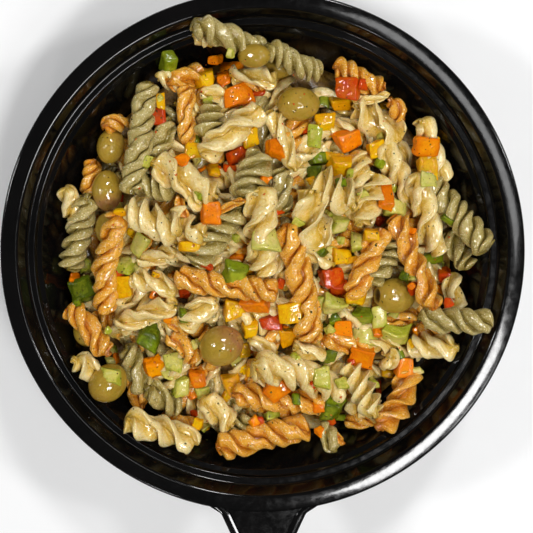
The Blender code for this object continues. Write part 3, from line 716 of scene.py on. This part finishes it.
def cube_grid(steps):
    """A cube's surface as a grid of cells: the cells' corners by index, and the faces."""
    index = {}
    for cell in product(range(steps + 1), repeat=3):
        if 0 in cell or steps in cell:
            index[cell] = len(index)
    faces = []
    for axis, i, j, level in product(range(3), range(steps), range(steps), (0, steps)):
        cells = [(level, i + di, j + dj) for di, dj in ((0, 0), (1, 0), (1, 1), (0, 1))]
        corners = [index[cell[-axis:] + cell[:-axis]] for cell in cells]
        faces.append(corners if level else corners[::-1])
    return np.array(list(index)), faces


def moved_in(points):
    """Points of a cut piece, moved in as one if any of them would be in the bowl's wall."""
    room = wall_at(points[:, 2]) - WALL_GAP
    excess = np.where(points[:, 2] < LIP_HEIGHT, np.hypot(points[:, 0], points[:, 1]) - room, 0).max()
    middle = points[:, :2].mean(axis=0)
    way = middle / max(np.linalg.norm(middle), 1e-6)
    return points - np.array((*way, 0)) * max(excess, 0)


def block(half, draw, skew, curve=0.0, ridge=0.0):
    """A cut block with soft edges, askew and a little uneven. The value skin is 1 on its upper side."""
    edge = draw.uniform(*BLOCK_EDGE)
    cells, faces = cube_grid(BLOCK_STEPS)
    half = np.array(half)
    placed = np.empty(cells.shape)
    for axis in range(3):
        band = min(edge / half[axis], 0.45)
        inner = np.linspace(-1 + band, 1 - band, BLOCK_STEPS - 1)
        line = np.concatenate([[-1], inner, [1]])
        placed[:, axis] = line[cells[:, axis]]
    points = placed * half
    core = np.clip(points, -(half - edge), half - edge)
    out = points - core
    out /= np.maximum(np.linalg.norm(out, axis=1), 1e-9)[:, None]
    points = core + out * edge
    share = (points / half + 1) / 2
    for corner in product((0, 1), repeat=3):
        pull = draw.uniform(-skew, skew, 3) * half
        weight = np.prod(np.where(np.array(corner) == 1, share, 1 - share), axis=1)
        points = points + weight[:, None] * pull
    taper = draw.uniform(-BLOCK_TAPER, BLOCK_TAPER, 2)
    points[:, 1] *= 1 + taper[0] * points[:, 0] / half[0]
    points[:, :2] *= (1 + taper[1] * points[:, 2] / half[2])[:, None]
    for _ in range(3):
        way = draw.normal(size=3)
        way *= 2 * pi / draw.uniform(3.5, 7) / np.linalg.norm(way)
        swell = np.sin(points @ way + draw.uniform(0, 2 * pi))
        points = points + swell[:, None] * draw.normal(0, 0.12, 3)
    points[:, 2] -= curve * points[:, 0] ** 2
    points[:, 2] += ridge * np.cos(points[:, 1] * 2 * pi / 2.4) * (placed[:, 2] > 0)
    points += draw.normal(0, 0.03, points.shape)
    skin = np.clip((placed[:, 2] - 0.55) / 0.4, 0, 1)
    rim = np.clip((np.abs(placed[:, :2]).max(axis=1) - 0.45) / 0.5, 0, 1)
    return points, faces, skin, rim


def settled(tree, bit, thick, sink):
    """Where a cut piece comes to rest, sunk this far into the heap, and the way up of the heap there."""
    height = RIM_TOP
    for _ in range(2):
        middle = under_eye(bit.x, bit.y, height)
        found = []
        slopes = Vector((0, 0, 0))
        for i, j in product(np.linspace(-0.4, 0.4, 5), repeat=2):
            level, normal = height_at(tree, middle[0] + i * bit.long, middle[1] + j * bit.wide)
            if level > BELOW:
                found.append(level)
                slopes += normal
        height = float(np.percentile(found, 60)) + thick / 2 - sink
    return Vector((*under_eye(bit.x, bit.y, height), height)), slopes.normalized()


def place_in_disc(draw, reach):
    """A place within this reach of the middle, every part of the disc alike."""
    radius = reach * draw.random() ** 0.5
    angle = draw.uniform(0, 2 * pi)
    return radius * cos(angle), radius * sin(angle)


def crumbs(tree):
    """Small cuttings in the gaps of the heap: a crumb lies where the heap is lower than around it."""
    draw = np.random.default_rng(SEED)
    found = []
    while len(found) < CRUMBS:
        x, y = place_in_disc(draw, CRUMB_REACH)
        around = [height_at(tree, x + 5 * cos(k), y + 5 * sin(k))[0] for k in range(6)]
        if height_at(tree, x, y)[0] < np.mean(around) - CRUMB_DEPTH:
            kind = CRUMB_KINDS[len(found) % len(CRUMB_KINDS)]
            found.append(Bit(kind, x, y, *draw.uniform(3, 6, 2), draw.uniform(0, 90), draw.random()))
    return found


def vegetables(bare, whole):
    """The cut vegetables of each kind. Those that show lie on pasta and olives, crumbs on pasta alone."""
    kinds = {}
    rows = [(Bit(kind, *row), whole) for kind, bits in BITS.items() for row in bits]
    rows += [(bit, bare) for bit in crumbs(bare)]
    for index, (bit, tree) in enumerate(rows):
        draw = np.random.default_rng(BIT_SEED + index)
        form = CELERY if bit.kind == "celery" else PEPPER
        thick = min(max(form.thick * min(bit.long, bit.wide), THINNEST), THICKEST) * draw.uniform(0.9, 1.2)
        place, up = settled(tree, bit, thick, draw.uniform(*SETTLE) - bit.rise)
        curve = draw.uniform(*form.curve)
        half = (bit.long * BIT_HALF, bit.wide * BIT_HALF, thick / 2)
        points, faces, skin, rim = block(half, draw, form.skew, curve, form.ridge)
        if draw.random() < SKIN_BELOW:
            skin = 1 - skin
        tilt = Vector((0, 0, 1)).lerp(up, FOLLOW) + Vector((*draw.uniform(-TILT, TILT, 2), 0))
        spin = Matrix.Rotation(radians(bit.turn + draw.uniform(-8, 8)), 3, "Z")
        if draw.random() < ON_EDGE:
            spin = spin @ Matrix.Rotation(radians(draw.choice((-1, 1)) * draw.uniform(35, 65)), 3, "X")
        rotation = Vector((0, 0, 1)).rotation_difference(tilt).to_matrix() @ spin
        points = moved_in(points @ np.array(rotation).T + np.array(place))
        tone = np.full(len(points), bit.tone + draw.uniform(-0.25, 0.25))
        kinds.setdefault(bit.kind, Shapes()).add(points, faces, {"skin": skin, "edge": rim, "tone": tone})
    return kinds


def olive(piece, line, draw, pit=None, bruise=(0.0, 0.0)):
    """Points, faces and values of an olive, with a hole where its pit was and a bruise on one side."""
    way = line[-1] - line[0]
    half_wide = piece.width / 2
    half_long = half_wide + np.linalg.norm(way) / 2
    rough = draw.uniform(0, 2 * pi, 4)
    polar, angle = np.mgrid[0 : OLIVE_ROWS + 1, 0:OLIVE_SIDES]
    polar = pi * polar.ravel() / OLIVE_ROWS
    angle = 2 * pi * angle.ravel() / OLIVE_SIDES
    swell = 0.988 + 0.008 * np.sin(2 * angle + rough[0]) * np.sin(polar)
    swell += 0.006 * np.sin(3 * polar + rough[1]) + 0.004 * np.sin(5 * angle + 4 * polar + rough[2])
    off_axis = half_wide * np.sin(polar) * swell * (1 - 0.03 * np.cos(polar))
    height = half_long * np.cos(polar) * swell
    hole = np.zeros(len(polar))
    if pit is not None:
        near = (height * pit > 0) & (off_axis < PIT_RADIUS)
        hole = np.where(near, np.clip((PIT_RADIUS - off_axis) / PIT_RIM, 0, 1), 0)
        height -= pit * hole * PIT_DEPTH
    points = np.column_stack([off_axis * np.cos(angle), off_axis * np.sin(angle), height])
    turn = np.array(Vector(way).normalized().to_track_quat("Z", "Y").to_matrix())
    points = points @ turn.T
    brown = np.clip(points[:, :2] @ np.array(bruise) / half_wide * 1.6 - 0.1, 0, 1)
    values = {"hole": hole, "bruise": brown, "tone": np.full(len(points), draw.random())}
    return points + (line[0] + line[-1]) / 2, joined(OLIVE_ROWS + 1, OLIVE_SIDES), values


def core():
    """The body of the salad under its pasta, with a lumpy top."""
    draw = np.random.default_rng(SEED)
    around = circle(CORE_SECTORS)
    edge = wall_at(CORE_FOOT) - 1.2
    lumps = draw.uniform(0, 2 * pi, 6)
    rings = []
    for radius in np.linspace(0, edge, CORE_RINGS)[1:]:
        x, y, _ = radius * around.T
        lump = np.sin(x / 3.1 + lumps[0]) * np.sin(y / 2.7 + lumps[1]) + np.sin((x + y) / 4.3 + lumps[2])
        height = np.maximum(fill_level(x, y) - CORE_DEPTH + lump, CORE_FOOT)
        rings.append(np.column_stack([x, y, height]))
    low = SHEET + 0.6
    side = rounded([(0, low, 0), (wall_at(SHEET) - 0.8, low, BASE_CORNER), (edge, CORE_FOOT - 1, 0)], 8)
    rings += [around * (radius, radius, height) for radius, height in reversed(side[1:])]
    return capped((0, 0, fill_level(0, 0) - CORE_DEPTH), rings, (0, 0, low))


def flakes(tree):
    """Ground pepper, dried herbs and red flecks, which stick to whatever is on top."""
    kinds = {kind: Shapes() for kind in FLAKES}
    draw = np.random.default_rng(SEED)
    faces = fan(4, 0, 4) + fan(5, 0, 4, True)
    corners = np.array([(1, 0, 0), (0, 1, 0), (-1, 0, 0), (0, -1, 0), (0, 0, 1), (0, 0, -1)], float)
    for kind, (count, small, large, *_) in FLAKES.items():
        for _ in range(count):
            x, y = place_in_disc(draw, FLAKE_REACH)
            level, normal = height_at(tree, x, y)
            size = np.array([draw.uniform(small, large), draw.uniform(small, large) * 0.7, small * 0.7])
            shape = corners * size * draw.uniform(0.75, 1.2, (6, 1))
            spin = Matrix.Rotation(draw.uniform(0, 2 * pi), 3, "Z")
            rotation = np.array(Vector((0, 0, 1)).rotation_difference(normal).to_matrix() @ spin)
            if level > BELOW:
                tone = np.full(len(shape), draw.random())
                kinds[kind].add(shape @ rotation.T + (x, y, level), faces, {"tone": tone})
    return kinds


class Paint:
    """A material, and short ways to add nodes to it."""

    def __init__(self, name):
        self.material = bpy.data.materials.new(name)
        self.material.use_nodes = True
        self.tree = self.material.node_tree
        self.shader = self.tree.nodes["Principled BSDF"]
        self.place = self.tree.nodes.new("ShaderNodeTexCoord").outputs["Object"]

    def fill(self, node, inputs):
        """Sets a node's inputs to numbers or colours, or links them to other nodes' outputs."""
        for key, source in inputs.items():
            socket = node.inputs[key]
            if isinstance(source, bpy.types.NodeSocket):
                self.tree.links.new(source, socket)
            else:
                socket.default_value = (*source, 1) if socket.type == "RGBA" else source

    def node(self, kind, inputs):
        """A new node with these inputs."""
        made = self.tree.nodes.new(kind)
        self.fill(made, inputs)
        return made

    def value(self, label):
        """A value that the mesh's points carry."""
        node = self.node("ShaderNodeAttribute", {})
        node.attribute_name = label
        return node.outputs["Fac"]

    def noise(self, size, detail=3.0, roughness=0.6, place=None):
        """Noise with features of this size in millimetres."""
        inputs = {"Scale": 1 / (size * METRES), "Detail": detail, "Roughness": roughness}
        return self.node("ShaderNodeTexNoise", {"Vector": place or self.place, **inputs}).outputs["Fac"]

    def source(self, given):
        """An output as it is, or noise of the size and detail that are given."""
        return self.noise(*given) if isinstance(given, tuple) else given

    def streaks(self, across, along):
        """Noise drawn out along a spiral's fins, with this many lines across and waves in a centimetre."""
        labels = enumerate(("round", "along", "tone"))
        join = self.node("ShaderNodeCombineXYZ", {number: self.value(label) for number, label in labels})
        stretch = self.node("ShaderNodeVectorMath", {0: join.outputs["Vector"], 1: (across, along, 57)})
        stretch.operation = "MULTIPLY"
        return self.noise(1 / METRES, 2, 0.5, stretch.outputs["Vector"])

    def ramp(self, source, *stops):
        """Colours at positions between 0 and 1."""
        node = self.node("ShaderNodeValToRGB", {"Fac": source})
        row = node.color_ramp.elements
        for position, _ in stops[1:-1]:
            row.new(position)
        for mark, (position, colour) in zip(row, stops):
            mark.position = position
            mark.color = (*colour, 1)
        return node.outputs["Color"]

    def band(self, source, low, high, start=0.0, end=1.0):
        """A source carried from one range to another, and held at its ends."""
        inputs = {"From Min": low, "From Max": high, "To Min": start, "To Max": end}
        inputs["Value"] = self.source(source)
        return self.node("ShaderNodeMapRange", inputs).outputs["Result"]

    def reckon(self, operation, *inputs):
        node = self.node("ShaderNodeMath", dict(enumerate(inputs)))
        node.operation = operation
        return node.outputs["Value"]

    def sum(self, first, second, share=1.0):
        """The first value plus a share of the second."""
        return self.reckon("MULTIPLY_ADD", self.source(second), share, self.source(first))

    def times(self, first, second):
        return self.reckon("MULTIPLY", first, second)

    def mix(self, share, first, second, way="MIX"):
        """Two colours mixed; either may be a colour or another node's output."""
        node = self.node("ShaderNodeMix", {})
        node.data_type = "RGBA"
        node.blend_type = way
        self.fill(node, {0: share, 6: first, 7: second})
        return node.outputs[2]

    def layers(self, colour, *rows):
        """A colour with others over it, each where its source goes from low to high, up to a share."""
        for source, low, high, most, over in rows:
            colour = self.mix(self.band(source, low, high, 0, most), colour, over)
        return colour

    def relief(self, layers):
        """A normal with relief from sources, each with a depth in millimetres."""
        below = {}
        for given, depth in layers:
            source = self.source(given)
            node = self.node("ShaderNodeBump", {"Distance": depth * METRES, "Height": source, **below})
            below = {"Normal": node.outputs["Normal"]}
        return below["Normal"]

    def bump(self, *layers):
        self.fill(self.shader, {"Normal": self.relief(layers)})

    def film(self, weight, *layers):
        """A clear wet film, smoother than what it lies on."""
        self.fill(self.shader, {"Coat Weight": weight, "Coat Normal": self.relief(layers)})

    def finish(self, colour, roughness, film_roughness=0.1, depth=None):
        """Sets the shader: its colour, its roughness and, for food, how far light spreads inside it."""
        inputs = {"Base Color": colour, "Roughness": roughness, "Coat Roughness": film_roughness}
        if depth:
            inputs |= WET | {"Subsurface Scale": depth * METRES}
        self.fill(self.shader, inputs)
        return self.material


def pasta_paint(name, groove_shade, flank, face, rim, stain):
    """Cooked pasta: painted shade down in its grooves, edges paler partly as painted highlight, and an oily
    film.
    """
    paint = Paint(name)
    streaks = paint.streaks(50, 4)
    fin = paint.sum(paint.value("fin"), (2.2, 4), 0.4)
    # From painted shade in the grooves to edges that are partly thinner pasta and partly painted highlight
    colour = paint.ramp(fin, (0.25, groove_shade), (0.55, flank), (0.8, face), (1.0, rim))
    tone = paint.sum(paint.value("tone"), (14, 2), 0.5)
    colour = paint.mix(paint.band(tone, 0.35, 1.15, 0, 0.5), colour, stain, "MULTIPLY")
    grain = paint.noise(0.7, 3, 0.7)
    colour = paint.layers(
        colour,
        (streaks, 0.52, 0.64, 0.6, rim),
        (streaks, 0.47, 0.35, 0.45, groove_shade),
        ((1.2, 5, 0.7), 0.54, 0.7, 0.5, groove_shade),
        (grain, 0.55, 0.7, 0.5, rim),
    )
    # Painted glints: pale specks along the fin crests stand in for glints of the oily film
    painted_glints = paint.times(paint.band((0.75, 1), 0.58, 0.7, 0, 0.7), paint.value("fin"))
    colour = paint.mix(painted_glints, colour, (0.97, 0.9, 0.68))
    colour = paint.layers(colour, ((0.9, 2), 0.71, 0.76, 0.8, (0.1, 0.04, 0.008)))
    paint.bump(((2.2, 3), 0.35), (streaks, 0.25), (grain, 0.3))
    paint.film(0.9, ((3, 1), 0.3), (streaks, 0.12), ((1.1, 1), 0.12))
    return paint.finish(colour, paint.band(grain, 0.3, 0.7, 0.4, 0.6), 0.07, 1.4)


def vegetable_paint(name, flesh, deep, skin):
    """A cut vegetable: wet flesh on its cut sides, deeper along its edges, and smooth skin on one side."""
    paint = Paint(name)
    tone = paint.sum(paint.value("tone"), (3, 4, 0.7), 0.9)
    tone = paint.sum(tone, paint.value("edge"), 0.5)
    body = paint.ramp(paint.band(tone, 0.3, 1.7), (0.25, flesh), (0.75, deep))
    share = paint.times(paint.value("skin"), paint.band((2.5, 3), 0.35, 0.6))
    colour = paint.layers(
        paint.mix(share, body, skin),
        ((0.9, 4), 0.54, 0.68, 0.3, flesh),
        ((1.3, 2), 0.72, 0.77, 0.6, (0.1, 0.05, 0.01)),
    )
    grain = paint.noise(0.7, 3)
    paint.bump(((2.5, 3), 0.7), (grain, 0.25))
    paint.film(0.42, ((3, 1), 0.45), ((1.2, 1), 0.12))
    return paint.finish(colour, paint.band(grain, 0.3, 0.7, 0.4, 0.6), 0.06, 1.4)


def olive_paint():
    """Green olive: mottled skin with paler dots, a brown bruise here and there and painted shade in its pit
    hole.
    """
    paint = Paint("olive_skin")
    patch = paint.sum((6, 4), paint.value("tone"), 0.2)
    stops = (0.35, (0.31, 0.2, 0.015)), (0.62, (0.39, 0.255, 0.03)), (0.8, (0.43, 0.275, 0.045))
    colour = paint.ramp(patch, *stops, (0.95, (0.32, 0.15, 0.03)))
    brown = paint.times(paint.value("bruise"), paint.band((4, 4), 0.3, 0.6, 0.4, 1))
    colour = paint.mix(brown, colour, (0.33, 0.15, 0.065))
    dots = ((0.7, 2), 0.58, 0.72, 0.35, (0.55, 0.42, 0.1))
    specks = ((1.0, 2), 0.72, 0.78, 0.6, (0.16, 0.07, 0.015))
    colour = paint.layers(colour, dots, specks)
    # Painted shade: darker where the pit hole is
    colour = paint.mix(paint.value("hole"), colour, (0.08, 0.04, 0.01))
    grain = paint.noise(0.8, 3)
    paint.bump(((4, 3), 0.5), (grain, 0.16))
    paint.film(0.9, ((5, 1), 0.5), ((1.7, 1), 0.15))
    return paint.finish(colour, paint.band(grain, 0.3, 0.7, 0.4, 0.55), 0.06, 1.5)


def plain_paint(name, light, dark, roughness):
    """A small matter of two mixed colours, such as ground pepper."""
    paint = Paint(name)
    colour = paint.ramp(paint.sum(paint.value("tone"), paint.noise(0.5), 0.3), (0.1, light), (1.0, dark))
    grain = paint.noise(0.3)
    paint.bump((grain, 0.05))
    return paint.finish(colour, paint.band(grain, 0.3, 0.7, roughness - 0.1, roughness + 0.1), 0.1, 0.2)


def core_paint():
    """The matter between the pieces, coloured dark as painted shade for the gaps of the heap."""
    paint = Paint("under_pasta")
    # The dark colours are painted shade for the gaps between the pieces
    colour = paint.ramp(
        paint.noise(6, 5), (0.3, (0.06, 0.025, 0.002)), (0.5, (0.22, 0.11, 0.01)), (0.7, (0.42, 0.25, 0.03))
    )
    grain = paint.noise(1.5, 4)
    paint.bump(((5, 4), 1.5), (grain, 0.3))
    paint.film(0.5, (grain, 0.2))
    return paint.finish(colour, paint.band(grain, 0.3, 0.7, 0.4, 0.6), 0.15)


def bowl_paint():
    """Black moulded plastic: glossy, with a faint ripple, fine scuffs and a thin film of oil."""
    paint = Paint("moulded_black")
    colour = paint.ramp(paint.noise(30, 4), (0.35, (0.002, 0.002, 0.002)), (0.7, (0.004, 0.0035, 0.0035)))
    scuff = paint.noise(3, 6, 0.7)
    ripple = paint.noise(22, 2)
    crease = paint.noise(7, 4)
    paint.bump((ripple, 0.05), (crease, 0.025), (scuff, 0.006))
    paint.film(0.15, (ripple, 0.05), (crease, 0.025))
    paint.shader.inputs["Specular IOR Level"].default_value = 0.3
    return paint.finish(colour, paint.band(scuff, 0.35, 0.7, 0.06, 0.16), 0.05)


def floor_paint():
    """A plain white surface."""
    paint = Paint("white_floor")
    colour = paint.ramp(paint.noise(60, 3), (0.3, (0.93, 0.93, 0.93)), (0.7, (0.96, 0.96, 0.96)))
    grain = paint.noise(2, 3)
    return paint.finish(colour, paint.band(grain, 0.3, 0.7, 0.6, 0.75))


def rides_for(piece, slot, *nodes):
    """Puts a piece in place of nodes of the model. The slot is not used."""
    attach(piece, "root")
    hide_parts(*nodes)


def make_bowl():
    """The bowl with its pull tab."""
    body = Shapes()
    for points, faces in (turned(inner_profile() + outer_profile(), BOWL_SIDES), tab()):
        body.add(points, faces, {})
    made = body.object("round_bowl", bowl_paint())
    made.data.set_sharp_from_angle(angle=radians(50))
    rides_for(made, "black_plastic", "bowl")
    return body


def heaped(shapes, name, paint):
    """A piece of the heap, which stands with others for the model's heap."""
    rides_for(shapes.object(name, paint), "dressed_pasta", "pasta_salad")


def make_olives(lines):
    """The olives, each in place of its own node. Gives their shapes."""
    olives = Shapes()
    skin = olive_paint()
    found = [(index, piece) for index, piece in enumerate(PILE) if piece.kind == O]
    for number, (index, piece) in enumerate(found, 1):
        pit = -1 if number == PIT_OLIVE else None
        draw = np.random.default_rng(SEED + index)
        points, faces, values = olive(piece, lines[index], draw, pit, BRUISES.get(number, (0, 0)))
        olives.add(points, faces, values)
        made = mesh_object(f"green_olive_{number}", points, faces, skin, values)
        rides_for(made, "green_olive", f"olive_{number}")
    return olives


def make_salad(bowl):
    """The pasta, vegetables and olives in a bowl."""
    heap = HeapMap()
    lines = [drop(heap, piece) for piece in PILE]
    spirals = pasta(lines)
    for kind, shapes in spirals.items():
        heaped(shapes, f"{kind}_spirals", pasta_paint(f"{kind}_pasta", *PASTA[kind]))
    body = Shapes()
    body.add(*core(), {})
    heaped(body, "salad_core", core_paint())
    olives = make_olives(lines)
    under = [*spirals.values(), body, bowl]
    cut = vegetables(surface(under), surface([*under, olives]))
    for kind, shapes in cut.items():
        heaped(shapes, f"{kind}_pieces", vegetable_paint(f"{kind}_vegetable", *CUT[kind]))
    for kind, shapes in flakes(surface([*under, olives, *cut.values()])).items():
        heaped(shapes, f"{kind}_flakes", plain_paint(f"{kind}_ground", *FLAKES[kind][3:]))


def make_floor():
    """A plain floor under the bowl."""
    corners = [(x * FLOOR_HALF, y * FLOOR_HALF, 0) for x, y in ((-1, -1), (1, -1), (1, 1), (-1, 1))]
    mesh_object("floor", corners, [(0, 1, 2, 3)], floor_paint())


def softbox(name, place, size, power, turn=0):
    """A soft light that faces the bowl, with its place and size in millimetres."""
    light = bpy.data.lights.new(name, "AREA")
    light.shape = "RECTANGLE"
    light.size, light.size_y = (side * METRES for side in size)
    light.energy = power
    made = linked(name, light)
    place = Vector(place) * METRES
    aim = (Vector((0, 0, RIM_TOP * METRES)) - place).to_track_quat("-Z", "Y").to_matrix().to_4x4()
    made.matrix_world = Matrix.Translation(place) @ aim @ Matrix.Rotation(radians(turn), 4, "Z")


def light_up():
    """Soft studio light from above, and a dim surrounding."""
    scene = bpy.context.scene
    scene.world = bpy.data.worlds.new("studio")
    scene.world.use_nodes = True
    background = scene.world.node_tree.nodes["Background"]
    background.inputs["Color"].default_value = WORLD_COLOUR
    background.inputs["Strength"].default_value = WORLD_STRENGTH
    for name, light in LIGHTS.items():
        softbox(name, *light)
    scene.view_settings.view_transform = "Standard"
    scene.view_settings.look = "None"


def set_camera():
    """A camera at the photograph's place, angle and lens."""
    back = Vector(CAMERA_BACK).normalized()
    right = Vector((0, 1, 0)).cross(back).normalized()
    up = back.cross(right)
    place = Vector(CAMERA_PLACE) * METRES
    lens = bpy.data.cameras.new("camera")
    lens.lens = CAMERA_LENS
    lens.clip_start = 0.01
    camera = linked("camera", lens)
    rows = [(right[k], up[k], back[k], place[k]) for k in range(3)]
    camera.matrix_world = Matrix((*rows, (0, 0, 0, 1)))
    bpy.context.scene.camera = camera


for thing in list(bpy.data.objects):
    bpy.data.objects.remove(thing)
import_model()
set_camera()
light_up()
make_floor()
make_salad(make_bowl())
